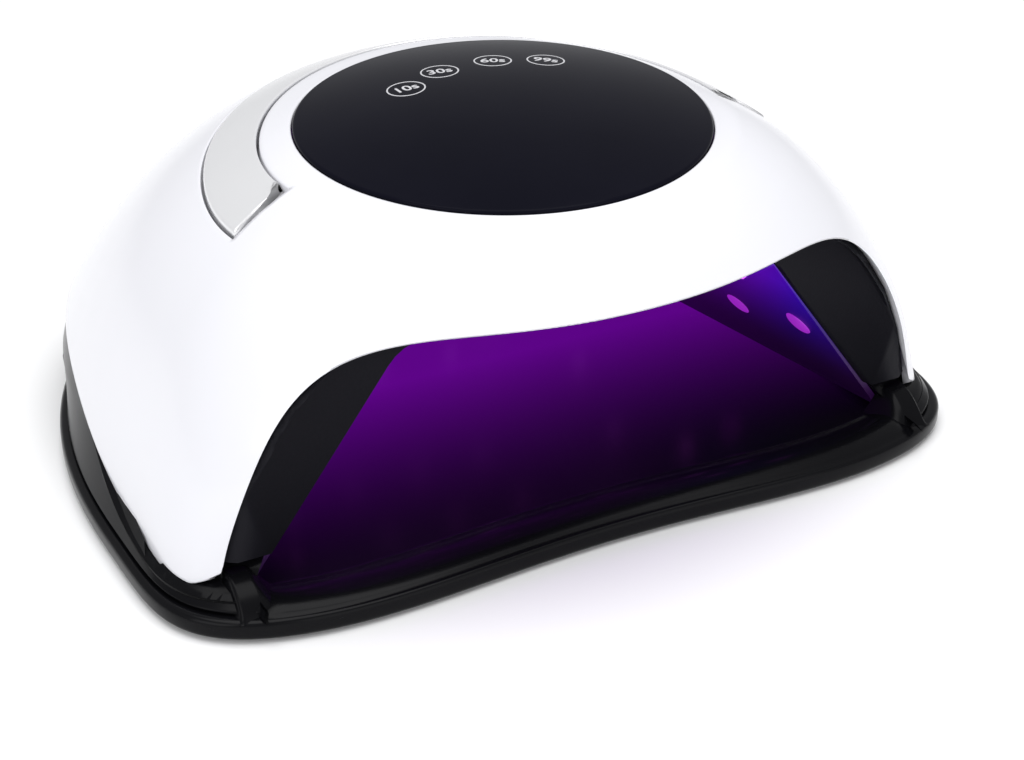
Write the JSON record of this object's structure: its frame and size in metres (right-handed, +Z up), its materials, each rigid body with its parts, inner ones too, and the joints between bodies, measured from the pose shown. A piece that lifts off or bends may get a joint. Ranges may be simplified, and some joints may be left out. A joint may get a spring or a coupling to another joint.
{
  "type": "nail curing lamp",
  "caption": "Tabletop lamp that cures gel nail polish: domed cover over an open hand cavity lined with light beads, touch panel, folding carry handle, lift-off base tray.",
  "frame": {"origin": "middle of the lamp's footprint box on the table", "axes": "+Z up; the hand enters along +Y through the mouth at -Y; +X to the right seen from the hand"},
  "size_m": [0.2374, 0.2067, 0.102],
  "materials": {
    "bead": "clear silicone dome",
    "bezel_black": "fine matte",
    "board_green": "green solder mask",
    "board_white": "white solder mask",
    "cover_white": "glossy painted shell",
    "display_dark": "smoked window",
    "foam": "closed-cell foam",
    "frame_black": "glossy moulded plastic",
    "handle_core_grey": "satin",
    "handle_silver": "silver plated plastic",
    "heat_sink": "extruded",
    "inlet_black": "satin",
    "magnet": "nickel plated",
    "panel_black": "high gloss acrylic",
    "reflector_silver": "metallised plastic",
    "rubber_black": "matte",
    "steel": "zinc plated",
    "tray_black": "glossy moulded plastic"
  },
  "bodies": {
    "tray": {"base_tray": "tray_black", "tray_feet": "rubber_black", "tray_magnets": "magnet"},
    "lamp": {"catch_plates": "steel", "lower_frame": "frame_black", "dc_inlet": "inlet_black", "dc_inlet_pin": "steel", "top_cover": "cover_white", "front_bezel": "bezel_black", "reflector": "reflector_silver", "led_board_top": "board_white", "led_beads_top": "bead", "led_board_left": "board_white", "led_beads_left": "bead", "led_board_right": "board_white", "led_beads_right": "bead", "led_board_rear": "board_white", "led_beads_rear": "bead", "touch_panel": "panel_black", "panel_gasket": "foam", "touch_board": "board_green", "display_module": "display_dark", "touch_springs": "steel", "pivot_pin_left": "steel", "pivot_pin_right": "steel", "control_board": "board_green", "buzzer": "inlet_black", "heat_sink": "heat_sink", "frame_screws": "steel"},
    "handle": {"handle_plate": "handle_silver", "handle_core": "handle_core_grey"}
  },
  "joints": [
    {"name": "housing_lift", "type": "slide", "parent": "tray", "child": "lamp", "axis": [0, 0, 1], "range_m": [0, 0.04]},
    {"name": "handle_fold", "type": "hinge", "parent": "lamp", "child": "handle", "pos_m": [0, -0.0292, 0.0865], "axis": [1, 0, 0], "range_deg": [0, 95]}
  ]
}
